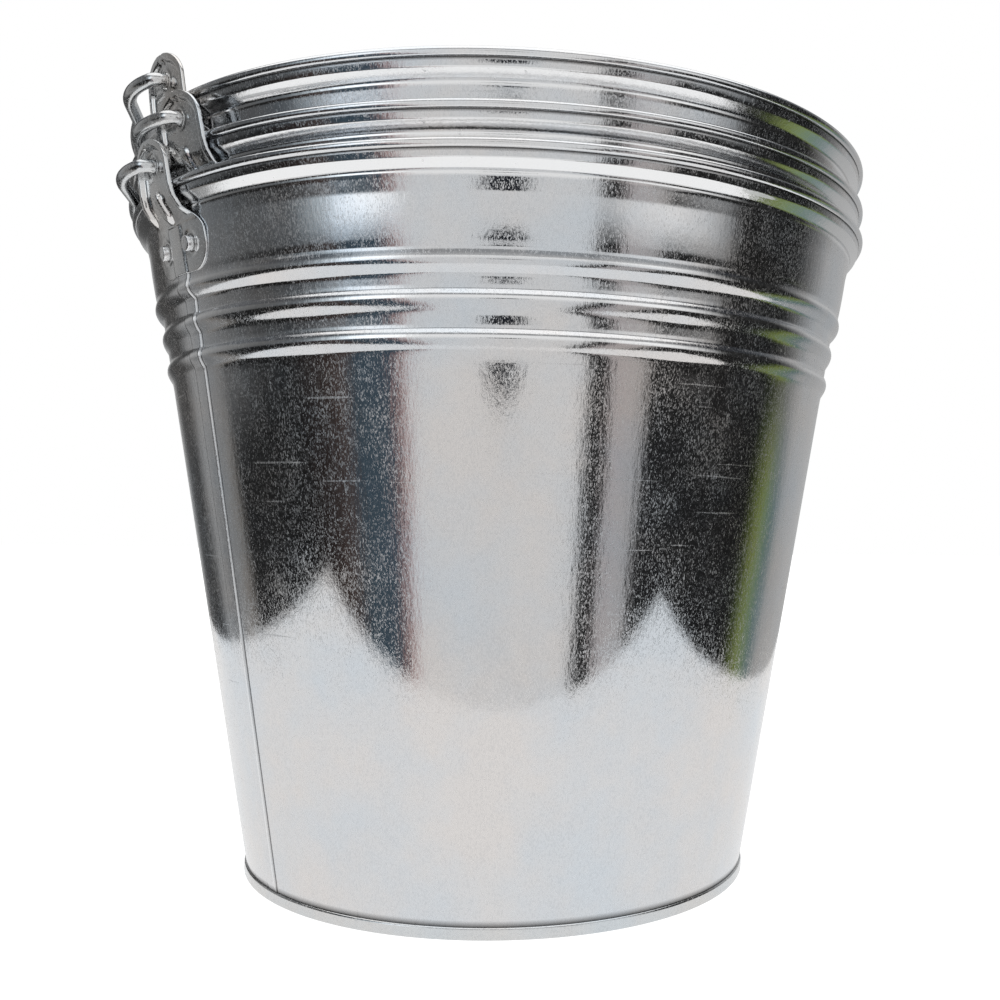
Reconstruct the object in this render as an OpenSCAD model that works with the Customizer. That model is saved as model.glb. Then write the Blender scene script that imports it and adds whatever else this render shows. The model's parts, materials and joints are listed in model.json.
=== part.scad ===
// Three galvanised florist buckets nested in one another. Every bucket has a rolled and wired
// rim, a folded side seam, three swaged beads, a double-seamed base, two riveted ears and a bail.

/* [Bucket] */
// Outer diameter over the rolled rim
rim_d = 300; // [296:0.5:304]
// Height from the foot to the middle of the rolled rim
rim_z = 253.9; // [252:0.1:258]
// Outer diameter of the wall where it enters the base seam
base_d = 205.2; // [200:0.2:206]
// Thickness of the wall sheet
sheet_t = 0.4; // [0.35:0.05:0.45]
// Outer radius of the rolled rim
roll_r = 1.6; // [1.5:0.05:1.7]
// Thickness of the base pan
pan_t = 0.5; // [0.4:0.05:0.5]
// Height of the folded ring round the foot
foot_h = 4.4; // [4:0.1:5]

/* [Beads] */
// Distance from one bead to the next
bead_pitch = 12; // [11.8:0.1:12.2]
// Height of one bead
bead_h = 7.5; // [7:0.1:8]
// How far the two lower beads stand proud of the cone
bead_proud = 1.5; // [1.2:0.1:1.5]
// Top of the highest bead below the rim
bead_drop = 29.6; // [29:0.1:30]

/* [Side seam] */
// Angle that the folded seam covers
seam_span = 3.4; // [3:0.1:3.6]
// How far the seam stands proud of the wall
seam_proud = 0.55; // [0.4:0.05:0.6]

/* [Ears] */
// Sheet thickness of an ear
ear_t = 0.7; // [0.6:0.05:0.75]
// Width of the riveted plate
ear_w = 40; // [38:0.5:41]
// Height of the ear above the middle of the rim
ear_rise = 15.4; // [14.8:0.1:15.5]
// Height of the raised border round the tongue of an ear that has another ear outside it
ear_border_h = 0.95; // [0.7:0.05:1]
// Height of the same border on the bottom bucket, whose ears are the outermost
outer_border_h = 1.9; // [1:0.1:2.2]
// Distance between the two rivets of an ear
rivet_gap = 20; // [18:0.5:22]
// Shank diameter of a rivet
rivet_d = 3.2; // [3:0.1:3.4]
// Height of the rivet heads on the bottom bucket, where nothing limits them
outer_head_h = 2.2; // [0.7:0.1:2.4]

/* [Bail] */
// Diameter of the bail wire
bail_d = 4.6; // [4.2:0.1:4.6]
// Radius of the bail's big arc, to the middle of the wire
bail_r = 149.2; // [149:0.1:149.4]
// Angle by which the bail's leg leans in where it leaves the ear
leg_lean = 32; // [31:0.5:33]
// Height of the pivot above the middle of the rim
pivot_rise = 6.9; // [6.8:0.05:7]

/* [Stack] */
// How far the middle bucket's foot stands above the bottom bucket's foot
middle_rise = 11.7; // [11.6:0.1:13]
// How far the top bucket's foot stands above the middle bucket's foot
top_rise = 15.7; // [15.2:0.1:17]
// Turn of the middle bucket from the bottom one
middle_turn = 7.2; // [7:0.1:8]
// Turn of the top bucket from the bottom one
top_turn = 3; // [1.2:0.1:3.2]

/* [Hidden] */
$fn = 96;

BOTTOM = 0;
MIDDLE = 1;
TOP = 2;
rises = [0, middle_rise, middle_rise + top_rise];
turns = [0, middle_turn, top_turn];

// Wall: a cone up to the beads, a slightly wider band above them, then a flared collar.
roll_c = rim_d / 2 - roll_r;
crease_z = rim_z - 7;
crease_r = roll_c - 3.5;
band_z = rim_z - bead_drop;
band_r = crease_r - 4.4;
flare_top_r = roll_c + 0.55;
flare_top_z = rim_z - roll_r + 0.15;
cone_slope = 0.166;
bead_step_z = band_z - bead_h;
beads = 3;
bead_steps = 10;
bead_skew = 1.23;
crest_r = band_r + 0.5;
skirt_z = 0.55;
flare_t = sheet_t * 1.15;

function cone_r(z) = base_d / 2 + cone_slope * (z - foot_h);
function wall_r(z) = z > band_z ? band_r + (z - band_z) * (crease_r - band_r) / (crease_z - band_z)
                                : cone_r(z);

// A bead is a skewed half wave whose crest sits above the middle of its height.
function wave(u) = sin(180 * pow(u, bead_skew));
function bead_bottom(i) = bead_step_z - i * bead_pitch;
function lower_bead(i) = [for (k = [0 : bead_steps])
    let (u = k / bead_steps, z = bead_bottom(i) + u * bead_h)
    [cone_r(z) + bead_proud * wave(u), z]];
// The highest bead is also the step from the cone out to the band.
step_crest = 0.55;
function top_bead() = [for (k = [0 : bead_steps])
    let (u = k / bead_steps, z = bead_step_z + u * bead_h, low = cone_r(bead_step_z))
    [u < step_crest ? low + (crest_r - low) * sin(90 * u / step_crest)
                    : crest_r - (crest_r - band_r) * (1 - cos(180 * (u - step_crest) / (1 - step_crest))) / 2,
     z]];

// The outside of the wall, from the foot up to the start of the roll.
outside = concat(
    [[cone_r(skirt_z), skirt_z]],
    lower_bead(2),
    lower_bead(1),
    top_bead(),
    [[crease_r, crease_z], [flare_top_r, flare_top_z]]);

// The same line pulled in by t, run downwards so that the two close a polygon.
function inside(t) = [for (k = [len(outside) - 1 : -1 : 0])
    [outside[k][0] - (outside[k][1] > crease_z ? flare_t : t), outside[k][1]]];

module place(i) {
    translate([0, 0, rises[i]]) rotate([0, 0, turns[i]]) children();
}

// A ring or part ring of a profile drawn as [radius, height], centred on the -X side.
module swept(span) {
    rotate([0, 0, 180 - span / 2]) rotate_extrude(angle = span) children();
}

// A second copy of what is drawn on the -X side, turned to the +X side.
module both_sides() {
    children();
    rotate([0, 0, 180]) children();
}

module roll(r) {
    rotate_extrude() translate([roll_c, rim_z]) circle(r = r);
}

// Wire room inside the roll and the running gap round it.
wire_r = roll_r - sheet_t - 0.05;

// Folded seam: the same wall line, thickened outwards over a few degrees.
seam_top_z = crease_z - 0.4;
module seam() {
    line = [for (p = outside) if (p[1] > foot_h && p[1] < seam_top_z) p];
    full = concat([[cone_r(foot_h + 0.3), foot_h + 0.3]], line,
                  [[wall_r(seam_top_z), seam_top_z]]);
    back = [for (k = [len(full) - 1 : -1 : 0]) full[k] - [sheet_t / 2, 0]];
    front = [for (p = full) p + [seam_proud, 0]];
    swept(seam_span) polygon(concat(front, back));
}

// Rivets stand square to the wall of the band.
rivet_z = rim_z - 19.6;
rivet_tilt = atan((crease_r - band_r) / (crease_z - band_z));
rivet_turn = asin(rivet_gap / 2 / wall_r(rivet_z));
module at_rivets() {
    for (side = [-1, 1])
        rotate([0, 0, side * rivet_turn]) translate([-wall_r(rivet_z), 0, rivet_z])
            rotate([0, -90 - rivet_tilt, 0]) children();
}
rivet_hole_r = rivet_d / 2 + 0.05;
module rivet_holes() {
    at_rivets() translate([0, 0, -4]) cylinder(h = 8, r = rivet_hole_r);
}

module body() {
    color("gainsboro") difference() {
        union() {
            rotate_extrude() polygon(concat(outside, inside(sheet_t)));
            difference() {
                roll(roll_r);
                roll(wire_r + 0.05);
            }
            seam();
        }
        both_sides() rivet_holes();
    }
}

module rim_wire() {
    color("silver") roll(wire_r);
}

// The base is a recessed disc whose hem wraps under and round the foot of the wall.
pan_gap = 0.03;
pan_z = foot_h - pan_t - 0.1;
lip_r = base_d / 2 + 0.8;
lip_in = cone_r(foot_h) + pan_gap;
hem_out = cone_r(skirt_z) - sheet_t - pan_gap;
hem_in = hem_out - pan_t;
lip_round = 0.7;
module base_pan() {
    color("lightgray") rotate_extrude() {
        square_to(0, pan_z, hem_in + pan_t / 2, pan_z + pan_t);
        square_to(hem_in, 0.1, hem_out, pan_z + pan_t);
        square_to(hem_in + 0.3, 0, lip_r - lip_round, skirt_z - pan_gap);
        difference() {
            rounded_lip();
            polygon([[hem_in, skirt_z - pan_gap], [cone_r(skirt_z) + pan_gap, skirt_z - pan_gap],
                     [lip_in, foot_h], [lip_in, foot_h + 1], [hem_in, foot_h + 1]]);
        }
    }
}
module square_to(x0, y0, x1, y1) {
    translate([x0, y0]) square([x1 - x0, y1 - y0]);
}
module rounded_lip() {
    square_to(hem_out, 0, lip_r - lip_round, foot_h);
    square_to(lip_r - lip_round, lip_round, lip_r, foot_h - lip_round);
    for (z = [lip_round, foot_h - lip_round])
        translate([lip_r - lip_round, z]) circle(r = lip_round);
}

// Ear: one pressing. Its plate lies on the band, its tongue stands outside the roll.
ear_bottom = rim_z - 28.9;
ear_top = rim_z + ear_rise;
bend_low_z = rim_z - 10.9;
bend_high_z = rim_z - 1.7;
tongue_r = rim_d / 2 + 0.25;
tongue_lean = 0.16;
ear_gap = 0.03;
ear_line = [
    [wall_r(ear_bottom - 0.3) + ear_gap, ear_bottom - 0.3],
    [wall_r(bend_low_z) + ear_gap, bend_low_z],
    [tongue_r - 0.3, bend_high_z],
    [tongue_r, rim_z + 0.1],
    [tongue_r + tongue_lean * ear_rise, ear_top + 0.3]];
ear_span = 20;

// A layer of the ear between two distances out from its inner face.
module ear_layer(low, high) {
    front = [for (p = ear_line) p + [high, 0]];
    back = [for (k = [len(ear_line) - 1 : -1 : 0]) ear_line[k] + [low, 0]];
    swept(ear_span) polygon(concat(front, back));
}

// Cuts a layer to an outline drawn as [sideways, height].
module cut_to() {
    intersection() {
        children(0);
        translate([-rim_d / 2 - 15, 0, 0]) rotate([90, 0, 90]) linear_extrude(30) children(1);
    }
}

shoulder_z = rim_z - 12.9;
plate_round = 9.4;
shoulder_round = 3;
neck_r = 4.5;
module plate_outline() {
    for (x = [-1, 1]) {
        translate([x * (ear_w / 2 - plate_round), ear_bottom + plate_round]) circle(r = plate_round);
        translate([x * (ear_w / 2 - shoulder_round), shoulder_z - shoulder_round])
            circle(r = shoulder_round);
    }
    square_to(-ear_w / 2, ear_bottom + plate_round, ear_w / 2, shoulder_z - shoulder_round);
    square_to(plate_round - ear_w / 2, ear_bottom, ear_w / 2 - plate_round, shoulder_z - 1);
    square_to(shoulder_round - ear_w / 2, shoulder_z - 4, ear_w / 2 - shoulder_round, shoulder_z);
    difference() {
        square_to(-ogive_half - neck_r, shoulder_z - 1, ogive_half + neck_r, shoulder_z + neck_r);
        for (x = [-1, 1])
            translate([x * (ogive_half + neck_r), shoulder_z + neck_r]) circle(r = neck_r);
    }
}
ogive_r = 120;
ogive_z = rim_z - 6.9;
ogive_half = 13.6;
apex_r = 14.5;
module tongue_outline(inset) {
    intersection() {
        for_ogive(inset, -1);
        for_ogive(inset, 1);
        union() {
            translate([0, ear_top - apex_r]) circle(r = apex_r - inset);
            square_to(-ear_w, shoulder_z - 2, ear_w, ear_top - apex_r);
        }
    }
}
module for_ogive(inset, side) {
    translate([side * (ogive_r - ogive_half), ogive_z]) circle(r = ogive_r - inset);
}
border_z = rim_z - 7;
border_w = 3;
module border_outline() {
    difference() {
        tongue_outline(0);
        tongue_outline(border_w);
        square_to(-ear_w, 0, ear_w, border_z);
    }
}

// Central rib that bridges the side seam and runs up into the tongue.
rib_half = 5.6;
rib_top = rim_z - 2.6;
rib_room = 0.68;
module rib_outline(inset) {
    half = rib_half - inset;
    square_to(-half, ear_bottom - 1, half, rib_top - rib_half);
    translate([0, rib_top - rib_half]) circle(r = half);
}
pivot_hole_r = bail_d / 2 + 0.3;
module ear(border_h) {
    color("silver") difference() {
        union() {
            cut_to() {
                ear_layer(0, ear_t);
                union() {
                    plate_outline();
                    tongue_outline(0);
                }
            }
            cut_to() {
                ear_layer(ear_t / 2, ear_t + border_h);
                border_outline();
            }
            cut_to() {
                ear_layer(ear_t / 2, ear_t + rib_room);
                intersection() {
                    rib_outline(0);
                    square_to(-ear_w, ear_bottom, ear_w, ear_top);
                }
            }
        }
        cut_to() {
            ear_layer(-0.5, rib_room);
            rib_outline(ear_t);
        }
        rivet_holes();
        pivot_bore(pivot_hole_r);
    }
}
pivot_z = rim_z + pivot_rise;
module pivot_bore(r) {
    translate([-rim_d / 2 - 8, 0, pivot_z]) rotate([0, 90, 0]) cylinder(h = 16, r = r);
}

// Four rivets: a round head outside, a flat tail inside. Nested buckets need low heads.
head_r = 2.7;
low_head_h = 0.72;
tail_r = 2.3;
tail_h = 0.4;
head_seat = ear_t + ear_gap + 0.05;
tail_seat = sheet_t + 0.05;
head_round = 0.36;
module rivet(head_h) {
    translate([0, 0, -tail_seat - tail_h / 2]) cylinder(h = tail_seat + head_seat + tail_h, r = rivet_d / 2);
    translate([0, 0, head_seat]) cylinder(h = head_h - head_round, r = head_r);
    translate([0, 0, head_seat + head_h - head_round])
        cylinder(h = head_round, r1 = head_r, r2 = head_r - 2 * head_round);
    translate([0, 0, -tail_seat - tail_h]) cylinder(h = tail_h, r = tail_r);
}
module rivets(head_h) {
    color("darkgray") both_sides() at_rivets() rivet(head_h);
}

// Bail, drawn flat in the XY plane. From the ear the wire runs straight out, turns sharply, turns
// gently, runs in along a straight leg and turns back a little to join the big arc.
hook_r = 4;
hook_turn = 78;
sweep_r = 33;
join_r = 20;
link_l = 1;
stub_x = rim_d / 2 - 0.9;
hook_x = rim_d / 2 + 2;
stop_x = stub_x + 1.6;
stop_r = 2.85;
bail_drop = asin((pivot_rise - roll_r - bail_d / 2 - 0.1) / bail_r);

// Where a path at p with heading h gets to after a straight length, or a turn to the left.
function ahead(p, h, l) = p + l * [cos(h), sin(h)];
function left_of(p, h, r, a) = p + r * [sin(h + a) - sin(h), cos(h) - cos(h + a)];
leg_h = 90 + leg_lean;
sweep_start = ahead(left_of([hook_x, 0], 0, hook_r, hook_turn), hook_turn, link_l);
leg_start = left_of(sweep_start, hook_turn, sweep_r, leg_h - hook_turn);
leg_side = [sin(leg_h), -cos(leg_h)];
leg_along = [cos(leg_h), sin(leg_h)];
leg_off = leg_start * leg_side + join_r;
join_reach = sqrt(pow(bail_r + join_r, 2) + pow(link_l, 2));
leg_l = -(leg_start * leg_along) - sqrt(pow(join_reach, 2) - pow(leg_off, 2));
join_c = leg_start + leg_l * leg_along + join_r * leg_side;
bail_from = atan2(join_c[1], join_c[0]) + atan(link_l / (bail_r + join_r));
join_turn = leg_h - 90 - bail_from;

module bend(r, from, span) {
    rotate([0, 0, from]) rotate_extrude(angle = span) translate([r, 0]) circle(d = bail_d);
}
module heading(p, h) {
    translate([p[0], p[1], 0]) rotate([0, 0, h]) children();
}
// The straight lengths are drawn a hair thinner, so that they end inside the bends they meet.
bail_lap = 0.1;
leg_d = bail_d - 0.04;
module straight(l) {
    translate([-bail_lap, 0, 0]) rotate([0, 90, 0]) cylinder(h = l + 2 * bail_lap, d = leg_d);
}
module bail_end() {
    translate([stub_x, 0, 0]) rotate([0, 90, 0]) cylinder(h = hook_x - stub_x + bail_lap, d = leg_d);
    translate([stub_x, 0, 0]) rotate([0, 90, 0]) cylinder(h = stop_x - stub_x, r = stop_r);
    heading([hook_x, hook_r], 0) bend(hook_r, -90, hook_turn);
    heading(left_of([hook_x, 0], 0, hook_r, hook_turn), hook_turn) straight(link_l);
    heading(sweep_start, hook_turn) translate([0, sweep_r, 0]) bend(sweep_r, -90, leg_h - hook_turn);
    heading(leg_start, leg_h) straight(leg_l);
    heading(ahead(leg_start, leg_h, leg_l), leg_h) translate([0, -join_r, 0])
        bend(join_r, 90 - join_turn, join_turn);
    rotate([0, 0, bail_from]) translate([bail_r, 0, 0]) rotate([0, 0, -90]) straight(link_l);
}
module bail() {
    color("darkgray") translate([0, 0, pivot_z]) rotate([-bail_drop, 0, 0]) {
        bend(bail_r, bail_from, 180 - 2 * bail_from);
        bail_end();
        mirror([1, 0, 0]) bail_end();
    }
}

place(BOTTOM) body();  // bottom_body
place(BOTTOM) base_pan();  // bottom_base_pan
place(BOTTOM) rim_wire();  // bottom_rim_wire
place(BOTTOM) ear(outer_border_h);  // bottom_left_ear
place(BOTTOM) rotate([0, 0, 180]) ear(outer_border_h);  // bottom_right_ear
place(BOTTOM) rivets(outer_head_h);  // bottom_rivets
place(BOTTOM) bail();  // bottom_bail
place(MIDDLE) body();  // middle_body
place(MIDDLE) base_pan();  // middle_base_pan
place(MIDDLE) rim_wire();  // middle_rim_wire
place(MIDDLE) ear(ear_border_h);  // middle_left_ear
place(MIDDLE) rotate([0, 0, 180]) ear(ear_border_h);  // middle_right_ear
place(MIDDLE) rivets(low_head_h);  // middle_rivets
place(MIDDLE) bail();  // middle_bail
place(TOP) body();  // top_body
place(TOP) base_pan();  // top_base_pan
place(TOP) rim_wire();  // top_rim_wire
place(TOP) ear(ear_border_h);  // top_left_ear
place(TOP) rotate([0, 0, 180]) ear(ear_border_h);  // top_right_ear
place(TOP) rivets(low_head_h);  // top_rivets
place(TOP) bail();  // top_bail
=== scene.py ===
import json
import math

import bpy
from mathutils import Matrix, Vector, noise


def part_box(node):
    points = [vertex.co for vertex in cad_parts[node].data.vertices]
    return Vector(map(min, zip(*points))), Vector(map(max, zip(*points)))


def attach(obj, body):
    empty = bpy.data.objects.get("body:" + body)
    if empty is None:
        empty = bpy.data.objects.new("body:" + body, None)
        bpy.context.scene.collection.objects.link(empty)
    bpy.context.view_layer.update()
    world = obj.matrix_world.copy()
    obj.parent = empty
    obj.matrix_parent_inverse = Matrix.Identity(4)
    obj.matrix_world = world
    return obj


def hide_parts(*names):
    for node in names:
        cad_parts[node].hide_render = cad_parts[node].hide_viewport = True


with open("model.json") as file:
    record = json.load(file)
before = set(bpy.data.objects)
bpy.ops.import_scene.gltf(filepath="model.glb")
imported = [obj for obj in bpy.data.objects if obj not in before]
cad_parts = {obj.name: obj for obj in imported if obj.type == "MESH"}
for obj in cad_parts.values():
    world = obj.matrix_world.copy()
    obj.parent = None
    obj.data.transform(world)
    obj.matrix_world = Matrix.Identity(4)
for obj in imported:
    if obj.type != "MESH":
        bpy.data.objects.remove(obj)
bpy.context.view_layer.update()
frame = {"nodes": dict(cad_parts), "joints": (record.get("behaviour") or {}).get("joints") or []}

MM = 0.001
WHITE = (1, 1, 1, 1)
BUCKETS = ("bottom", "middle", "top")
JOINTS = {j["name"]: j for j in frame["joints"]}

# Dimensions in millimetres, in one bucket's frame: foot at z 0, seam on -X.
RIM_Z = 253.9
ROLL_R = 1.6
ROLL_C = 148.4
SHEET = 0.4
FOOT_H = 4.4
HEM_Z = 0.55
PAN_TOP, PAN_LOW = 4.3, 3.8
RING_R = 0.85
FOOT_R = 102.6
SLOPE = 0.166
CREASE = (144.9, 246.9)
BAND = (140.5, 224.3)
BAND_TILT = [(224.3, 13.3), (226.2, 13.3), (227.2, 11.0), (240.0, 8.0), (241.3, 13.3),
             (246.9, 13.3)]
RIDGE_Z = 246.0
COLLAR_TURN = (147.75, 249.65)
COLLAR_TOP = (148.5, 251.9)
BEAD_H = 7.5
BEAD_PITCH = 12.0
BEAD_PROUD = 1.5
SEAM_PROUD = 0.55
EAR_T = 0.7
EAR_LEAN = {"bottom": 0.16, "middle": 0.2, "top": 0.13}
EAR_LOW = RIM_Z - 28.9
EAR_HALF = 20.0
EAR_CORNER = 9.4
WAIST = (237.2, 246.4)
TONGUE_HALF = 13.6
TONGUE_ROUND = 9.2
RIB_HALF = 5.2
EAR_BEND = 241.6
TONGUE_RIB = (244.6, 249.2)
EAR_TOP = RIM_Z + 15.35
RIVET_Z = RIM_Z - 19.6
RIVET_GAP = 20.0
EAR_BORDER = {"bottom": 1.9, "middle": 1.1, "top": 1.1}
RIVET_R = 2.7
RIVET_HEAD = {"bottom": 2.2, "middle": 0.72, "top": 0.72}
BAIL_R = 149.2
BAIL_D = 4.6
STUB_X = 149.1
HOOK_X = 152.0
HOOK_R, HOOK_TURN = 4.0, 78
SWEEP_R = 33.0
LEG_HEADING = 122
JOIN_R = 20.0
LINK = 1.0
PIVOT_RISE = 6.9
PIVOT_Z = RIM_Z + PIVOT_RISE
HOLE_R = BAIL_D / 2 + 0.3
BUTTON_R = 2.85
BUTTON_LONG = 1.6


# --- Places taken from the frame -----------------------------------------------------------------
def bucket_place(name):
    """Turn and lift of a bucket, from the hinge of its bail and the underside of its foot."""
    joint = JOINTS[name + "_bail_swing"]
    turn = math.atan2(joint["axis"][1], joint["axis"][0])
    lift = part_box(name + "_base_pan")[0].z
    return Matrix.Translation((0, 0, lift)) @ Matrix.Rotation(turn, 4, "Z")


PLACE = {name: bucket_place(name) for name in BUCKETS}


# --- Mesh helpers --------------------------------------------------------------------------------
def make_object(name, points, faces, body, replaced, material, light_and_wear_marks=None):
    mesh = bpy.data.meshes.new(name)
    mesh.from_pydata([Vector(p) * MM for p in points], [], faces)
    mesh.transform(PLACE[body.split("_")[0]])
    mesh.validate()
    mesh.shade_smooth()
    # Each point's mark: below zero painted shade, above zero rubbed wear with a painted highlight.
    layer = mesh.attributes.new("wear_and_painted_light", "FLOAT", "POINT")
    if light_and_wear_marks:
        layer.data.foreach_set("value", light_and_wear_marks)
    obj = bpy.data.objects.new(name, mesh)
    bpy.context.scene.collection.objects.link(obj)
    mesh.materials.append(material)
    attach(obj, body)
    if replaced:
        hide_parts(*replaced)
    return obj


def grid_faces(rows, cols, wrap_rows=False, wrap_cols=False, start=0, flip=False):
    faces = []
    for i in range(rows if wrap_rows else rows - 1):
        for j in range(cols if wrap_cols else cols - 1):
            a = start + i * cols + j
            b = start + i * cols + (j + 1) % cols
            c = start + ((i + 1) % rows) * cols + (j + 1) % cols
            d = start + ((i + 1) % rows) * cols + j
            faces.append((a, d, c, b) if flip else (a, b, c, d))
    return faces


def smooth_step(low, high, x):
    u = min(1, max(0, (x - low) / (high - low)))
    return u * u * (3 - 2 * u)


def hump(x, centre, width):
    return math.exp(-((x - centre) / width) ** 2)


def polar(r, angle, z):
    return (r * math.cos(angle), r * math.sin(angle), z)


def arc(centre, r, start, end, steps):
    return [(centre[0] + r * math.cos(math.radians(start + (end - start) * k / steps)),
             centre[1] + r * math.sin(math.radians(start + (end - start) * k / steps)))
            for k in range(steps + 1)]


def line(a, b, steps):
    return [(a[0] + (b[0] - a[0]) * k / steps, a[1] + (b[1] - a[1]) * k / steps)
            for k in range(steps + 1)]


# --- Bucket wall ---------------------------------------------------------------------------------
def cone_r(z):
    return FOOT_R + SLOPE * (z - FOOT_H)


def band_r(z):
    return BAND[0] + (z - BAND[1]) * (CREASE[0] - BAND[0]) / (CREASE[1] - BAND[1])


def band_line():
    """The band above the highest bead, slightly hollow, with a fine ridge under the crease."""
    steps = 96
    rise = (CREASE[1] - BAND[1]) / steps
    shape = [BAND]
    for k in range(steps):
        z = BAND[1] + (k + 0.5) * rise
        for (z0, t0), (z1, t1) in zip(BAND_TILT, BAND_TILT[1:]):
            if z0 <= z <= z1:
                tilt = math.radians(t0 + (t1 - t0) * (z - z0) / (z1 - z0))
        shape.append((shape[-1][0] + rise * math.tan(tilt), z + 0.5 * rise))
    miss = CREASE[0] - shape[-1][0]
    return [(r + miss * k / steps + 0.13 * hump(z, RIDGE_Z, 0.42), z)
            for k, (r, z) in enumerate(shape)]


def wall_painted_light_and_wear(r, z):
    """Marks on the outside at a height: painted shade in the corners, rubbed wear with a painted
    highlight on the high lines.
    """
    # Painted shade at the top of the collar, under the roll.
    wear_and_painted_light = -0.45 * smooth_step(COLLAR_TOP[1] - 0.7, COLLAR_TOP[1] - 0.1, z)
    # The collar lightened as a painted highlight.
    if CREASE[1] + 0.3 < z < COLLAR_TURN[1] + 0.25:
        wear_and_painted_light = 1.0
    # Painted highlight on the ridge, painted shade in the crease.
    wear_and_painted_light += 0.9 * hump(z, RIDGE_Z, 0.7) - 0.3 * hump(z, CREASE[1], 0.25)
    for index in range(3):
        crest = BAND[1] - BEAD_H - index * BEAD_PITCH + 0.66 * BEAD_H
        # Painted highlight on each bead's crest, painted shade below it.
        wear_and_painted_light += 0.9 * hump(z, crest, 0.75) - 0.3 * hump(z, crest - 3.6, 1.1)
    return min(1.0, max(-1.0, wear_and_painted_light))


def wall_line():
    """Outside of the wall as (radius, height), from the foot to just under the roll."""
    step_z = BAND[1] - BEAD_H
    low = step_z - 2 * BEAD_PITCH
    points = line((cone_r(HEM_Z), HEM_Z), (cone_r(low), low), 60)
    for index in (2, 1):
        low = step_z - index * BEAD_PITCH
        for k in range(1, 25):
            u = k / 24
            points.append((cone_r(low + u * BEAD_H) + BEAD_PROUD * math.sin(math.pi * u ** 1.23),
                           low + u * BEAD_H))
        points += line(points[-1], (cone_r(low + BEAD_PITCH), low + BEAD_PITCH), 8)[1:]
    low_r, crest = cone_r(step_z), BAND[0] + 0.5
    for k in range(1, 25):
        u = k / 24
        if u < 0.55:
            r = low_r + (crest - low_r) * math.sin(math.pi / 2 * u / 0.55)
        else:
            r = crest - (crest - BAND[0]) * (1 - math.cos(math.pi * (u - 0.55) / 0.45)) / 2
        points.append((r, step_z + u * BEAD_H))
    points += band_line()[1:]
    # The collar leaves the crease steeply and turns up into the roll.
    points += line(CREASE, COLLAR_TURN, 12)[1:]
    middle = (COLLAR_TURN[0] + 0.18, COLLAR_TURN[1] + 0.19)
    for k in range(1, 11):
        u = k / 10
        points.append(tuple((1 - u) ** 2 * a + 2 * u * (1 - u) * b + u * u * c
                            for a, b, c in zip(COLLAR_TURN, middle, COLLAR_TOP)))
    # Ease the corners over a few tenths of a millimetre.
    for _ in range(2):
        points = ([points[0]]
                  + [((a[0] + 2 * b[0] + c[0]) / 4, (a[1] + 2 * b[1] + c[1]) / 4)
                     if b[1] > step_z - 2 * BEAD_PITCH - 3 else b
                     for a, b, c in zip(points, points[1:], points[2:])]
                  + [points[-1]])
    return points


def seam_relief(degrees):
    """Height of the folded seam: a crisp fold on its right, a soft ramp on its left."""
    if degrees > 0:
        fold = SEAM_PROUD + 0.12 * hump(degrees, 1.45, 0.22)
        return fold * (1 - smooth_step(1.58, 1.74, degrees)) - groove(degrees) * 0.28
    return SEAM_PROUD * smooth_step(-2.3, -1.5, degrees)


def groove(degrees):
    return hump(degrees, 1.86, 0.13)


def body_columns():
    fine = [k * 0.06 for k in range(-42, 43)]
    coarse = [k * 1.0 for k in range(-178, 181) if abs(k) > 2.6]
    return sorted(fine + coarse)


def ripple(x, y, z, size):
    return noise.noise(Vector((x, y, z)) / size)


def build_body(name, material):
    outer = [(r, z, True, wall_painted_light_and_wear(r, z)) for r, z in wall_line()]
    # The roll is lightened a little, a painted highlight.
    curl = [(r, z, False, 0.35) for r, z in arc((ROLL_C, RIM_Z), ROLL_R - 0.012, -84, 176, 34)]
    # A ring of painted shade in the tuck under the roll.
    painted_shade_tuck = [(ROLL_C - 0.35, RIM_Z - 1.25, False, -1.0)]
    inner = [(r - SHEET, z, False, 0.0) for r, z in reversed(wall_line()[::2])]
    inner = [p for p in inner if p[1] < RIM_Z - 3.4]
    profile = outer + painted_shade_tuck + curl + inner
    columns = body_columns()
    top = CREASE[1] - 0.4
    points, light_and_wear_marks = [], []
    seed = BUCKETS.index(name.split("_")[0]) * 40
    for r, z, is_out, wear_and_painted_light in profile:
        wave = smooth_step(0, 12, z) * (1 - smooth_step(RIM_Z - 14, RIM_Z - 5, z))
        for degrees in columns:
            angle = math.pi + math.radians(degrees)
            x, y, _ = polar(r, angle, z)
            push = wave * (0.10 * ripple(x + seed, y, z * 0.45, 34)
                           + 0.018 * ripple(x, y, z * 0.3 + seed, 9))
            mark = wear_and_painted_light
            if is_out and FOOT_H < z < top:
                push += seam_relief(degrees)
                # Painted highlight along the seam's crisp fold, painted shade in the groove beside
                # it.
                mark = max(mark, 0.6 * hump(degrees, 1.5, 0.12))
                mark -= (1 + mark) * groove(degrees) ** 0.7
            elif not is_out and z < CREASE[1]:
                push -= 0.3 * seam_relief(degrees) * (abs(degrees) < 1.5)
            # Painted shade where the wall goes into the foot ring.
            if is_out and z < FOOT_H + HEM_Z:
                mark = -0.9
            points.append(polar(r + push, angle, z))
            light_and_wear_marks.append(mark)
    faces = grid_faces(len(profile), len(columns), wrap_rows=True, wrap_cols=True, flip=True)
    make_object(name, points, faces, name.split("_")[0] + "_bucket",
                [name.replace("_wall", "_body")], material, light_and_wear_marks)


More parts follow.
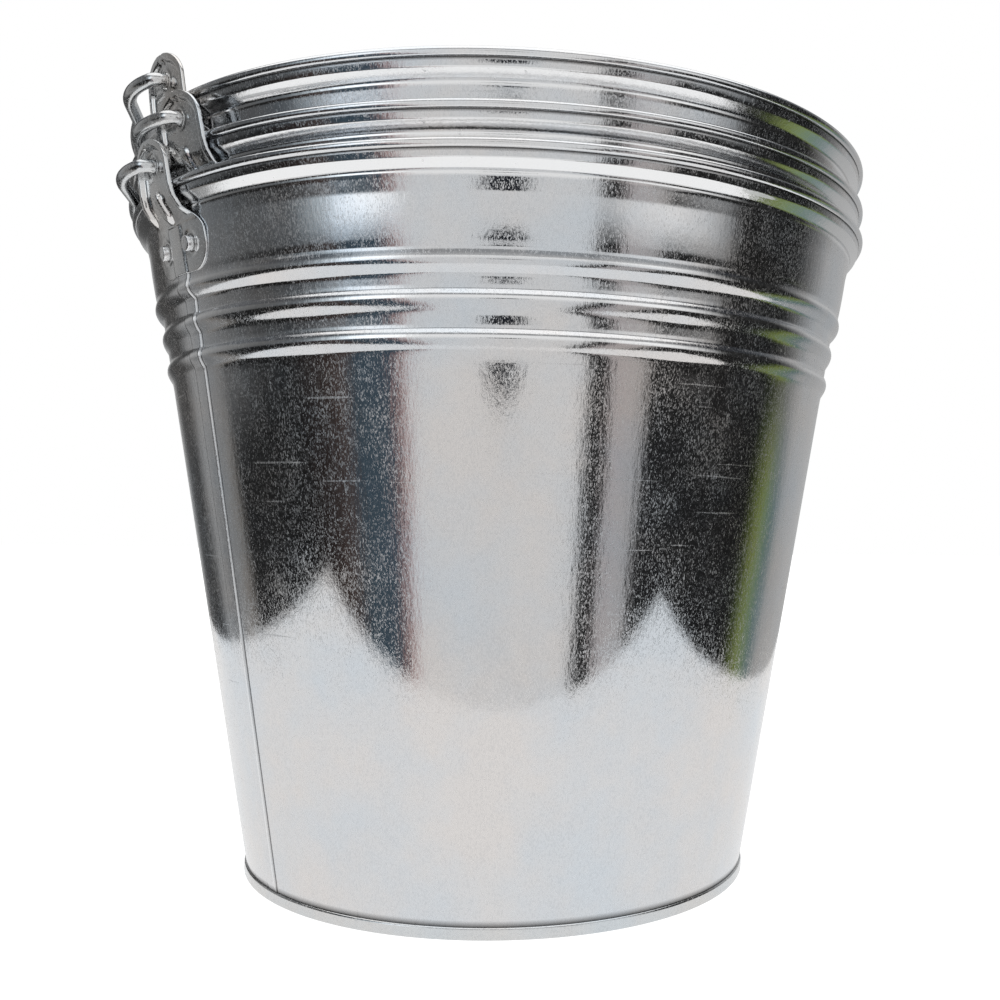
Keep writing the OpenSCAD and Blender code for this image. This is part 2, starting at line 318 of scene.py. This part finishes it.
def build_base(name, material):
    """The pan, its hem inside the foot and the rounded ring that wraps the foot of the wall."""
    lip = FOOT_R + 0.8
    hem = cone_r(HEM_Z) - SHEET - 0.03
    profile = [(r, PAN_TOP) for r in (0.01, 30, 60, 85, hem - 3)]
    profile += [(hem - 1.0, 4.28), (hem - 0.1, 4.2), (hem, 3.9), (hem, HEM_Z)]
    profile += [(cone_r(HEM_Z), 0.5), (cone_r(FOOT_H) + 0.03, FOOT_H - 0.6)]
    profile += arc((lip - RING_R, FOOT_H - RING_R), RING_R, 95, 4, 8)
    profile += line((lip + 0.02, FOOT_H - 1.2), (lip - 0.02, 1.2), 4)[1:-1]
    profile += arc((lip - RING_R, RING_R), RING_R, -4, -92, 8)
    profile += [(hem - 0.1, 0.02)] + arc((hem - 0.3, 0.35), 0.33, -100, -180, 4)
    profile += [(hem - 0.6, 3.2), (hem - 0.9, 3.65)]
    profile += [(r, PAN_LOW) for r in (hem - 1.6, 85, 60, 30, 0.01)]
    columns = 240
    points, light_and_wear_marks = [], []
    for r, z in profile:
        for k in range(columns):
            angle = 2 * math.pi * k / columns
            x, y, _ = polar(r, angle, z)
            wobble = 0.05 * ripple(x, y, z, 11) if r > hem - 2 and 0.8 < z < FOOT_H else 0
            points.append(polar(r + wobble - 0.04, angle, max(z, 0.0)))
            light_and_wear_marks.append(0.0)
    faces = grid_faces(len(profile), columns, wrap_cols=True)
    make_object(name, points, faces, name.split("_")[0] + "_bucket",
                [name.replace("_base", "_base_pan")], material, light_and_wear_marks)


# --- Ears ----------------------------------------------------------------------------------------
def ear_half(z):
    """Half width of the ear's outline at a height."""
    if z < EAR_LOW + EAR_CORNER:
        drop = EAR_LOW + EAR_CORNER - z
        return EAR_HALF - EAR_CORNER + math.sqrt(max(0, EAR_CORNER ** 2 - drop ** 2))
    if z < WAIST[0]:
        return EAR_HALF
    if z < WAIST[1]:
        u = (z - WAIST[0]) / (WAIST[1] - WAIST[0])
        return TONGUE_HALF + (EAR_HALF - TONGUE_HALF) * (0.5 + 0.5 * math.cos(math.pi * u ** 1.1))
    side = TONGUE_HALF - 0.045 * (z - WAIST[1])
    shoulder = EAR_TOP - TONGUE_ROUND
    if z > shoulder:
        side *= math.sqrt(max(0, 1 - ((z - shoulder) / (EAR_TOP - shoulder)) ** 2))
    return side


def ear_face(z, lean):
    """Radius of the ear's inner face: on the wall, then bent out past the roll, then leaning."""
    knots = [(EAR_LOW - 1, band_r(EAR_LOW - 1) + 0.03), (EAR_BEND, band_r(EAR_BEND) + 0.03),
             (248.6, 148.9), (252.4, 150.05), (254.0, 150.3), (275.0, 150.3 + lean * 21)]
    soft = 0.55
    total = 0
    for shift in (-1, -0.5, 0, 0.5, 1):
        h = z + shift * soft
        for (z0, r0), (z1, r1) in zip(knots, knots[1:]):
            if z0 <= h <= z1:
                total += r0 + (h - z0) * (r1 - r0) / (z1 - z0)
                break
        else:
            total += knots[0][1] if h < knots[0][0] else knots[-1][1]
    return total / 5


def ear_edge_distance(s, z):
    """Distance from a point to the ear's outline, near enough for its border."""
    best = 99.0
    for k in range(-8, 9):
        h = z + k * 0.6
        if EAR_LOW <= h <= EAR_TOP:
            best = min(best, math.hypot(ear_half(h) - abs(s), h - z))
    return min(best, math.hypot(s, EAR_TOP - z)) if z > EAR_TOP - 5 else best


def rib_distance(s, z):
    """Distance from the middle line of the short rib on the tongue."""
    return math.hypot(s, max(0, z - TONGUE_RIB[1], TONGUE_RIB[0] - z))


def rivet_distance(s, z, side):
    return math.hypot(s - side * RIVET_GAP / 2, z - RIVET_Z)


def ear_relief(s, z, border, away):
    """Height of the pressing: border, flat rib down the plate, short rib above the bend."""
    ridge = smooth_step(-0.9, 0.6, away) * (1 - smooth_step(2.0, 3.5, away))
    height = border * ridge * smooth_step(242.6, 245.4, z)
    plate_rib = (1 - smooth_step(4.7, 5.5, abs(s))) * (1 - smooth_step(240.4, 241.8, z))
    tongue_rib = 1 - smooth_step(1.5, 3.1, rib_distance(s, z))
    height = max(height, 0.66 * plate_rib, 0.85 * border * tongue_rib)
    height += 0.22 * hump(math.hypot(s, z - PIVOT_Z), 3.5, 0.7)
    for side in (-1, 1):
        height -= 0.3 * hump(rivet_distance(s, z, side), 3.5, 0.8)
    return height


def ear_painted_light(s, z, away):
    """Painted highlight on the border and the ribs, painted shade beside them and round the rivets;
    the rivet loop caps every mark at zero, so only the painted shade is left.
    """
    tip = rib_distance(s, z)
    # Painted highlight on the border, painted shade in the valley inside it.
    mark = (smooth_step(242.5, 245, z)
            * (0.85 * hump(away, 1.2, 0.9) - 0.8 * hump(away, 3.7, 0.6)))
    # Painted highlight on the tongue's rib, painted shade round it.
    mark += 0.8 * hump(tip, 0, 1.4) - 0.7 * hump(tip, 3.1, 0.5)
    if z < 241:
        # Painted highlight on one half of the plate's rib, painted shade at its other edge.
        mark += 0.45 * smooth_step(-1, 1, s) * (1 - smooth_step(4.5, RIB_HALF, s))
        mark -= 0.8 * hump(s, -RIB_HALF, 0.35)
    # Painted highlight along the outline's edge.
    mark = max(mark, 0.7 * hump(away, 0, 0.25))
    for side in (-1, 1):
        # Painted shade round each rivet.
        mark = min(mark, -0.7 * hump(rivet_distance(s, z, side), 2.85, 0.3))
    return mark


def build_ear(name, material):
    bucket = name.split("_")[0]
    lean = EAR_LEAN[bucket]
    count = 110
    heights = [EAR_LOW + (EAR_TOP - EAR_LOW) * k / count for k in range(1, count)]
    heights = ([EAR_LOW + 0.02, EAR_LOW + 0.12, EAR_LOW + 0.3] + heights
               + [EAR_TOP - 0.26, EAR_TOP - 0.1, EAR_TOP - 0.02])
    across = [math.sin(math.pi / 2 * k / 40) * 0.4 + 0.6 * k / 40 for k in range(-40, 41)]
    cols = len(across)
    layers = []
    for back in (False, True):
        for z in heights:
            half = ear_half(z)
            for u in across:
                s = u * half
                edge = (1 - abs(u)) * half
                h = z
                reach = math.hypot(s, h - PIVOT_Z)
                if HOLE_R - 0.55 < reach < HOLE_R + 1.2:
                    wanted = HOLE_R + max(0, reach - HOLE_R + 0.3) * 0.8
                    s, h = s * wanted / reach, PIVOT_Z + (h - PIVOT_Z) * wanted / reach
                away = ear_edge_distance(s, h)
                out = ear_face(h, lean) + ear_relief(s, h, EAR_BORDER[bucket], away)
                round_off = 0.16 * (1 - smooth_step(0, 0.32, min(edge, EAR_TOP - z, z - EAR_LOW)))
                out += round_off if back else EAR_T - round_off
                out += 0.05 * ripple(s, h, 3 * len(name), 6)
                layers.append((-math.sqrt(out * out - s * s), s, h, reach, away))
    rows = len(heights)
    size = rows * cols
    points = [p[:3] for p in layers]
    reach = [p[3] for p in layers]
    keep = lambda quad: min(reach[i] for i in quad) > HOLE_R - 0.55
    faces = [q for q in grid_faces(rows, cols) if keep(q)]
    faces += [q for q in grid_faces(rows, cols, start=size, flip=True) if keep(q)]
    for i in range(rows - 1):
        a, b = i * cols, (i + 1) * cols
        faces.append((a, b, b + size, a + size))
        a, b = a + cols - 1, b + cols - 1
        faces.append((a + size, b + size, b, a))
    for j in range(cols - 1):
        faces.append((j, j + size, j + 1 + size, j + 1))
        a = (rows - 1) * cols + j
        faces.append((a + 1, a + 1 + size, a + size, a))
    # Close the rim of the pivot hole.
    edges = {}
    for q in faces:
        for k in range(len(q)):
            edges[(q[k], q[(k + 1) % len(q)])] = True
    for a, b in [e for e in edges if (e[1], e[0]) not in edges and e[0] < size and e[1] < size]:
        faces.append((b, a, a + size, b + size))
    if "right" in name:
        points = [(-x, -y, z) for x, y, z in points]
    light_and_wear_marks = []
    for (_, y, z), layer in zip(points, layers):
        light_and_wear_marks.append(ear_painted_light(y if "left" in name else -y, z, layer[4]))
    make_object(name, points, faces, bucket + "_bucket",
                [name.replace("_lug", "_ear")], material, light_and_wear_marks)


# --- Rivets --------------------------------------------------------------------------------------
def build_rivets(name, material):
    bucket = name.split("_")[0]
    head = RIVET_HEAD[bucket]
    seat = EAR_T + 0.08
    top = seat + head
    profile = [(1.55, seat - 0.6), (RIVET_R - 0.2, seat - 0.02), (RIVET_R - 0.04, seat + 0.1),
               (RIVET_R, seat + 0.25), (RIVET_R - 0.02, top - 0.42), (RIVET_R - 0.1, top - 0.25),
               (RIVET_R - 0.3, top - 0.11), (RIVET_R - 0.7, top - 0.04), (1.3, top - 0.015),
               (0.6, top), (0.02, top)]
    tail = [(0.02, -0.82), (1.0, -0.83), (1.8, -0.8), (2.2, -0.68), (2.3, -0.5), (2.2, -0.42),
            (1.55, -0.3)]
    around = 32
    tilt = math.atan((CREASE[0] - BAND[0]) / (CREASE[1] - BAND[1]))
    wall = band_r(RIVET_Z)
    turn = math.asin(RIVET_GAP / 2 / wall)
    points, faces, light_and_wear_marks = [], [], []
    for flip in (0, math.pi):
        for side in (-1, 1):
            where = (Matrix.Rotation(flip + side * turn, 4, "Z")
                     @ Matrix.Translation((-wall, 0, RIVET_Z))
                     @ Matrix.Rotation(-math.pi / 2 - tilt, 4, "Y"))
            for part in (profile, tail):
                start = len(points)
                for r, z in part:
                    for k in range(around):
                        a = 2 * math.pi * k / around
                        dent = 0.04 * ripple(r * math.cos(a) + side * 7, r * math.sin(a), z, 1.1)
                        points.append(where @ Vector((r * math.cos(a), r * math.sin(a), z + dent)))
                        light_and_wear_marks.append(0.0)
                faces += grid_faces(len(part), around, wrap_cols=True, start=start)
    make_object(name, points, faces, bucket + "_bucket",
                [bucket + "_rivets"], material, light_and_wear_marks)


# --- Bail ----------------------------------------------------------------------------------------
def turned(p, heading, r, angle, steps):
    """Points of a turn of radius r, to the left for a positive angle, and the heading after it."""
    side = 1 if angle > 0 else -1
    h = math.radians(heading)
    centre = (p[0] - side * r * math.sin(h), p[1] + side * r * math.cos(h))
    start = heading - side * 90
    return arc(centre, r, start, start + angle, steps)[1:], heading + angle


def bail_path():
    """Middle line of the wire in the plane of the bail, from its right end to its left."""
    half = line((STUB_X, 0), (HOOK_X, 0), 10)
    bend, heading = turned(half[-1], 0, HOOK_R, HOOK_TURN, 18)
    half += bend
    ahead = (math.cos(math.radians(heading)), math.sin(math.radians(heading)))
    half.append((half[-1][0] + LINK * ahead[0], half[-1][1] + LINK * ahead[1]))
    bend, heading = turned(half[-1], heading, SWEEP_R, LEG_HEADING - HOOK_TURN, 16)
    half += bend
    along = (math.cos(math.radians(heading)), math.sin(math.radians(heading)))
    side = (along[1], -along[0])
    start = half[-1]
    off = start[0] * side[0] + start[1] * side[1] + JOIN_R
    reach = math.hypot(BAIL_R + JOIN_R, LINK)
    leg = -(start[0] * along[0] + start[1] * along[1]) - math.sqrt(reach ** 2 - off ** 2)
    half += line(start, (start[0] + leg * along[0], start[1] + leg * along[1]), 6)[1:]
    centre = (half[-1][0] + JOIN_R * side[0], half[-1][1] + JOIN_R * side[1])
    begin = math.degrees(math.atan2(centre[1], centre[0]) + math.atan(LINK / (BAIL_R + JOIN_R)))
    half += turned(half[-1], heading, JOIN_R, -(heading - 90 - begin), 8)[0]
    half += arc((0, 0), BAIL_R, begin, 90, 64)
    return half + [(-x, y) for x, y in reversed(half[:-1])]


def build_bail(name, material):
    bucket = name.split("_")[0]
    path = bail_path()
    around = 24
    drop = math.asin((PIVOT_RISE - ROLL_R - BAIL_D / 2 - 0.1) / BAIL_R)
    where = Matrix.Translation((0, 0, PIVOT_Z)) @ Matrix.Rotation(-drop, 4, "X")
    travel = [0.0]
    for a, b in zip(path, path[1:]):
        travel.append(travel[-1] + math.dist(a, b))
    total = travel[-1]
    points = []
    for i, (x, y) in enumerate(path):
        before, after = path[max(i - 1, 0)], path[min(i + 1, len(path) - 1)]
        ahead = Vector((after[0] - before[0], after[1] - before[1], 0)).normalized()
        side = Vector((ahead.y, -ahead.x, 0))
        end = min(travel[i], total - travel[i])
        r = BAIL_D / 2
        if end < BUTTON_LONG:
            bulge = math.sqrt(max(0, 1 - ((BUTTON_LONG / 2 - end) / 0.95) ** 2))
            r = 0.5 + (BUTTON_R - 0.5) * bulge
        elif end < BUTTON_LONG + 0.1:
            r = 2.45
        for k in range(around):
            a = 2 * math.pi * k / around
            bump = 0.0
            if end > 2:
                bump = 0.045 * ripple(x, y + 5 * math.cos(a), 4 * math.sin(a) + len(name), 5)
            reach = r + bump - 0.035
            p = Vector((x, y, 0)) + side * (math.cos(a) * reach)
            points.append(where @ (p + Vector((0, 0, math.sin(a) * reach))))
    faces = grid_faces(len(path), around, wrap_cols=True, flip=True)
    faces.append(tuple(range(around)))
    faces.append(tuple(reversed(range(len(points) - around, len(points)))))
    make_object(name, points, faces, bucket + "_bail", [bucket + "_bail"], material,
                [0.0] * len(points))


# --- Materials -----------------------------------------------------------------------------------
class Graph:
    """A short way to write node trees."""

    def __init__(self, tree):
        self.tree = tree

    def node(self, kind, inputs=None, **settings):
        node = self.tree.nodes.new(kind)
        for key, value in settings.items():
            setattr(node, key, value)
        for key, value in (inputs or {}).items():
            if isinstance(value, bpy.types.NodeSocket):
                self.tree.links.new(value, node.inputs[key])
            else:
                node.inputs[key].default_value = value
        return node

    def math(self, operation, a, b=0.0, c=0.0):
        return self.node("ShaderNodeMath", {0: a, 1: b, 2: c}, operation=operation).outputs[0]

    def noise(self, vector, scale, detail=2.0, rough=0.5):
        return self.node("ShaderNodeTexNoise", {"Vector": vector, "Scale": scale, "Detail": detail,
                                                "Roughness": rough}).outputs["Fac"]

    def span(self, value, low, high, to_low=0.0, to_high=1.0, smooth=False):
        return self.node("ShaderNodeMapRange",
                         {"Value": value, "From Min": low, "From Max": high, "To Min": to_low,
                          "To Max": to_high},
                         interpolation_type="SMOOTHSTEP" if smooth else "LINEAR").outputs["Result"]

    def mix(self, factor, a, b):
        node = self.node("ShaderNodeMix", {0: factor, 6: a, 7: b}, data_type="RGBA")
        return node.outputs[2]

    def scaled(self, vector, scale, turn=(0, 0, 0)):
        return self.node("ShaderNodeMapping",
                         {"Vector": vector, "Scale": scale, "Rotation": turn}).outputs[0]


def zinc(name, cool, warm, rough, speck, stretch, grain, relief):
    """Galvanised steel: mottled tone, fine speckle, drawn streaks, scratches, and rubbed wear with
    a painted highlight and painted shade.
    """
    material = bpy.data.materials.new(name)
    material.use_nodes = True
    tree = material.node_tree
    tree.nodes.clear()
    g = Graph(tree)
    where = g.node("ShaderNodeTexCoord").outputs["Object"]
    drawn = g.scaled(where, (1, 1, stretch))
    # Grains: every small cell of the coating has its own brightness.
    cells = g.node("ShaderNodeTexVoronoi", {"Vector": drawn, "Scale": grain}).outputs["Color"]
    cell = g.node("ShaderNodeSeparateColor", {"Color": cells}).outputs[0]
    coarse = g.noise(drawn, grain * 0.42, 3, 0.75)
    clouds = g.noise(where, 21, 4, 0.6)
    patches = g.noise(g.scaled(where, (1, 1, 0.6)), 60, 4, 0.65)
    frost = g.math("ADD", g.math("MULTIPLY", cell, 0.5), g.math("MULTIPLY", coarse, 0.5))
    frost = g.math("ADD", frost, g.span(patches, 0.3, 0.7, -0.1, 0.08))
    specks = g.span(frost, 0.45, 0.85, smooth=True)
    pits = g.span(frost, 0.45, 0.25, smooth=True)
    mottle = g.noise(drawn, 120, 4, 0.6)
    streaks = g.noise(g.scaled(where, (1, 1, 0.06)), 520, 3, 0.6)
    scratch_a = g.noise(g.scaled(where, (1, 1, 0.012), (0.6, 0.25, 0)), 700, 1)
    scratch_b = g.noise(g.scaled(where, (0.03, 0.03, 1), (0.15, 0.05, 0)), 620, 1)
    scratches = g.math("MAXIMUM", g.span(scratch_a, 0.74, 0.77), g.span(scratch_b, 0.725, 0.755))
    wear_and_painted_light = g.node("ShaderNodeAttribute", attribute_name="wear_and_painted_light").outputs["Fac"]
    # Negative marks become painted shade, positive ones rubbed wear with a painted highlight.
    painted_crevice_shade = g.span(wear_and_painted_light, -0.1, -0.8)
    polish_and_painted_highlight = g.span(wear_and_painted_light, 0.1, 0.8)
    tone = g.mix(g.span(clouds, 0.35, 0.65), (*cool, 1), (*warm, 1))
    tone = g.mix(g.math("MULTIPLY", pits, 0.16), tone, (0.3, 0.32, 0.35, 1))
    # Painted highlight: rubbed parts lightened towards white.
    tone = g.mix(g.math("MULTIPLY", polish_and_painted_highlight, 0.85), tone, (0.97, 0.975, 0.98, 1))
    # Painted shade: crevices darkened towards black.
    tone = g.mix(g.math("MULTIPLY", painted_crevice_shade, 0.95), tone, (0.03, 0.026, 0.024, 1))
    specks = g.math("MULTIPLY", specks, g.span(polish_and_painted_highlight, 0, 1, 1, 0.25))
    roughness = g.math("ADD", rough, g.math("MULTIPLY", specks, speck))
    roughness = g.math("ADD", roughness, g.span(streaks, 0.5, 0.72, 0.0, 0.03))
    roughness = g.math("ADD", roughness, g.math("MULTIPLY", scratches, 0.22))
    roughness = g.math("ADD", roughness, g.math("MULTIPLY", polish_and_painted_highlight, 0.1))
    roughness = g.math("ADD", roughness, g.math("MULTIPLY", painted_crevice_shade, 0.3))
    dull = g.math("MAXIMUM", specks, g.math("MULTIPLY", scratches, 0.7))
    metallic = g.math("SUBTRACT", 1.0, g.math("MULTIPLY", dull, 0.09))
    # Heights in millimetres.
    height = g.math("MULTIPLY", coarse, 0.018)
    height = g.math("ADD", height, g.math("MULTIPLY", g.noise(drawn, grain * 0.16, 2, 0.6), 0.022))
    height = g.math("ADD", height, g.math("MULTIPLY", streaks, 0.025))
    height = g.math("ADD", height, g.math("MULTIPLY", mottle, 0.035))
    normal = g.node("ShaderNodeBump", {"Height": height, "Strength": 1.0,
                                       "Distance": relief * MM}).outputs[0]
    shader = g.node("ShaderNodeBsdfPrincipled", {"Base Color": tone, "Roughness": roughness,
                                                 "Normal": normal, "Metallic": metallic})
    g.node("ShaderNodeOutputMaterial", {"Surface": shader.outputs[0]})
    return material


COOL, WARM = (0.66, 0.70, 0.74), (0.74, 0.715, 0.70)
wall_zinc = zinc("wall_zinc", COOL, WARM, 0.02, 0.36, 0.38, 3900, 0.9)
base_zinc = zinc("base_zinc", (0.64, 0.68, 0.71), (0.70, 0.68, 0.66), 0.1, 0.35, 1.0, 2200, 1.2)
ear_zinc = zinc("ear_zinc", (0.72, 0.76, 0.79), (0.79, 0.76, 0.73), 0.05, 0.3, 1.0, 2300, 0.9)
rivet_zinc = zinc("rivet_zinc", (0.90, 0.92, 0.94), (0.93, 0.91, 0.90), 0.2, 0.3, 1.0, 2300, 1.2)
bail_zinc = zinc("bail_zinc", (0.66, 0.70, 0.73), (0.73, 0.71, 0.69), 0.14, 0.28, 1.0, 1900, 1.4)
wire_steel = zinc("wire_steel", (0.5, 0.52, 0.54), (0.52, 0.5, 0.49), 0.3, 0.2, 1.0, 1500, 1.0)

for bucket in BUCKETS:
    build_body(bucket + "_wall", wall_zinc)
    build_base(bucket + "_base", base_zinc)
    build_ear(bucket + "_left_lug", ear_zinc)
    build_ear(bucket + "_right_lug", ear_zinc)
    build_rivets(bucket + "_rivet_set", rivet_zinc)
    build_bail(bucket + "_handle", bail_zinc)
for name, node in frame["nodes"].items():
    node.data.materials.clear()
    node.data.materials.append(wire_steel)


# --- Camera --------------------------------------------------------------------------------------
VIEW_TURN = math.radians(-37.5)


def make_camera():
    data = bpy.data.cameras.new("camera")
    camera = bpy.data.objects.new("camera", data)
    bpy.context.scene.collection.objects.link(camera)
    bpy.context.scene.camera = camera
    yaw, pitch, roll = 0.06319, 0.02549, 0.01286
    position = Vector((0, -0.4787, 0.1385))
    forward = Vector((math.sin(yaw) * math.cos(pitch), math.cos(yaw) * math.cos(pitch),
                      math.sin(pitch)))
    right = forward.cross(Vector((0, 0, 1))).normalized()
    up = right.cross(forward)
    right, up = (right * math.cos(roll) + up * math.sin(roll),
                 up * math.cos(roll) - right * math.sin(roll))
    basis = Matrix((right, up, -forward)).transposed().to_4x4()
    camera.matrix_world = Matrix.Rotation(VIEW_TURN, 4, "Z") @ Matrix.Translation(position) @ basis
    data.sensor_width = 36
    data.lens = 36 * 1.109
    data.shift_x = -0.0714
    data.clip_start, data.clip_end = 0.01, 50


make_camera()


# --- Studio --------------------------------------------------------------------------------------
# Azimuth round the bucket in degrees (0 towards the camera, positive to its right) and the
# brightness of the room there, below and above the horizon.
LOW_RING = [(-180, 0.45), (-158, 0.4), (-150, 0.06), (-135, 0.045), (-130, 0.16), (-125, 0.38),
            (-120, 0.2), (-114, 0.26), (-107, (0.24, 0.22, 0.2)), (-104, 0.02), (-72, 0.012),
            (-60, (0.03, 0.022, 0.02)), (-53, (0.08, 0.06, 0.055)), (-49, (0.05, 0.075, 0.095)),
            (-37, (0.06, 0.085, 0.11)), (-35.5, (0.2, 0.11, 0.1)), (-31.5, (0.62, 0.5, 0.5)),
            (-30.5, 0.77), (27.5, 0.77), (28.5, 0.02), (35.5, 0.02), (36.5, (0.5, 0.46, 0.46)),
            (47.5, (0.46, 0.44, 0.43)), (49, 0.02), (100, 0.012), (104, (0.07, 0.09, 0.03)),
            (109, (0.2, 0.24, 0.07)), (113, (0.17, 0.24, 0.14)), (119, (0.13, 0.19, 0.2)),
            (126, 0.38), (140, 0.45), (180, 0.45)]
HIGH_RING = [(-180, 0.5), (-158, 0.45), (-148, 0.08), (-135, 0.05), (-125, 0.36), (-104, 0.2),
             (-84, 0.1), (-66, (0.1, 0.11, 0.12)), (-55, (0.5, 0.56, 0.6)), (-49, (1.1, 1.2, 1.3)),
             (-42, (1.3, 1.35, 1.4)), (-33, 1.1), (-30, 0.77), (27, 0.77), (29.5, 0.5), (36, 0.8),
             (50, 0.95), (62, 0.7), (70, 0.4), (76, 0.015), (104, 0.015), (112, 0.15), (126, 0.45),
             (180, 0.5)]


def ramp(g, factor, ring):
    node = g.node("ShaderNodeValToRGB", {"Fac": factor})
    stops = node.color_ramp.elements
    stops[0].position, stops[1].position = 0.0, 1.0
    for azimuth, _ in ring[1:-1]:
        stops.new((azimuth + 180) / 360)
    for stop, (azimuth, value) in zip(sorted(stops, key=lambda s: s.position), ring):
        stop.color = (*(value if isinstance(value, tuple) else (value,) * 3), 1)
    return node.outputs["Color"]


def above(g, height, start, end):
    """Rises from 0 to 1 between two elevations in degrees."""
    return g.span(height, math.radians(start), math.radians(end), smooth=True)


def make_world():
    world = bpy.data.worlds.new("studio")
    bpy.context.scene.world = world
    world.use_nodes = True
    tree = world.node_tree
    tree.nodes.clear()
    g = Graph(tree)
    toward = g.node("ShaderNodeTexCoord").outputs["Generated"]
    facing = g.node("ShaderNodeVectorRotate", {"Vector": toward, "Angle": -VIEW_TURN},
                    rotation_type="Z_AXIS").outputs[0]
    x, y, z = g.node("ShaderNodeSeparateXYZ", {"Vector": facing}).outputs
    azimuth = g.math("ARCTAN2", x, g.math("MULTIPLY", y, -1.0))
    around = g.span(azimuth, -math.pi, math.pi)
    height = g.math("ARCSINE", z)
    low, high = ramp(g, around, LOW_RING), ramp(g, around, HIGH_RING)
    room = g.mix(above(g, height, -8.5, 0.5), low, high)
    # A dimmer belt high on the walls, with the bright ceiling above it.
    belt = g.math("MULTIPLY", above(g, height, 26, 30), 0.6)
    room = g.mix(belt, room, (0.05, 0.055, 0.065, 1))
    room = g.mix(above(g, height, 42, 50), room, (1.3, 1.3, 1.3, 1))
    # The camera and its stand, seen in the metal as a small dark shape.
    across = g.math("DIVIDE", azimuth, math.radians(7))
    down = g.math("DIVIDE", g.math("ADD", height, math.radians(9)), math.radians(3.2))
    reach = g.math("ADD", g.math("MULTIPLY", across, across), g.math("MULTIPLY", down, down))
    room = g.mix(g.span(reach, 1.3, 0.6, smooth=True), room, (0.02, 0.022, 0.028, 1))
    seen = g.node("ShaderNodeLightPath").outputs["Is Camera Ray"]
    colour = g.mix(seen, room, WHITE)
    back = g.node("ShaderNodeBackground", {"Color": colour, "Strength": 1.0})
    g.node("ShaderNodeOutputWorld", {"Surface": back.outputs[0]})


def stage_card(name, z, corners, glow, paint):
    """A flat card that glows and also shows the shadows that fall on it."""
    mesh = bpy.data.meshes.new(name)
    mesh.from_pydata([(x, y, z) for x, y in corners], [], [tuple(range(len(corners)))])
    mesh.transform(Matrix.Rotation(VIEW_TURN, 4, "Z"))
    card = bpy.data.objects.new(name, mesh)
    bpy.context.scene.collection.objects.link(card)
    material = bpy.data.materials.new(name)
    material.use_nodes = True
    material.node_tree.nodes.clear()
    g = Graph(material.node_tree)
    light = g.node("ShaderNodeEmission", {"Color": WHITE, "Strength": glow})
    matt = g.node("ShaderNodeBsdfDiffuse", {"Color": (paint, paint, paint, 1)})
    both = g.node("ShaderNodeAddShader", {0: light.outputs[0], 1: matt.outputs[0]})
    g.node("ShaderNodeOutputMaterial", {"Surface": both.outputs[0]})
    mesh.materials.append(material)
    return card


def area_light(name, location, aim, size, energy):
    light = bpy.data.lights.new(name, "AREA")
    light.shape = "RECTANGLE"
    light.size, light.size_y = size
    light.energy = energy
    lamp = bpy.data.objects.new(name, light)
    lamp.location = Matrix.Rotation(VIEW_TURN, 3, "Z") @ Vector(location)
    lamp.rotation_euler = (Vector(aim) - lamp.location).to_track_quat("-Z", "Y").to_euler()
    lamp.visible_camera = False
    lamp.visible_glossy = False
    bpy.context.scene.collection.objects.link(lamp)


make_world()
floor = stage_card("floor", 0.0, [(-6, -6), (6, -6), (6, 6), (-6, 6)], 0.98, 0.3)
floor.visible_glossy = False
# Only reflections see this second card, the paper that the bucket stands on.
sheet = stage_card("sheet", -0.0003, [(-0.42, -0.265), (0.36, -0.265), (0.345, -0.13),
                                      (0.42, 0.9), (-0.5, 0.9)], 0.86, 0.05)
sheet.visible_camera = False
sheet.visible_diffuse = False
sheet.visible_shadow = False
area_light("key", (-0.7, -0.9, 1.3), (0, 0, 0.15), (0.5, 0.5), 6)
area_light("fill", (0.9, -0.5, 1.1), (0, 0, 0.15), (0.4, 0.6), 4)
bpy.context.scene.view_settings.view_transform = "Standard"
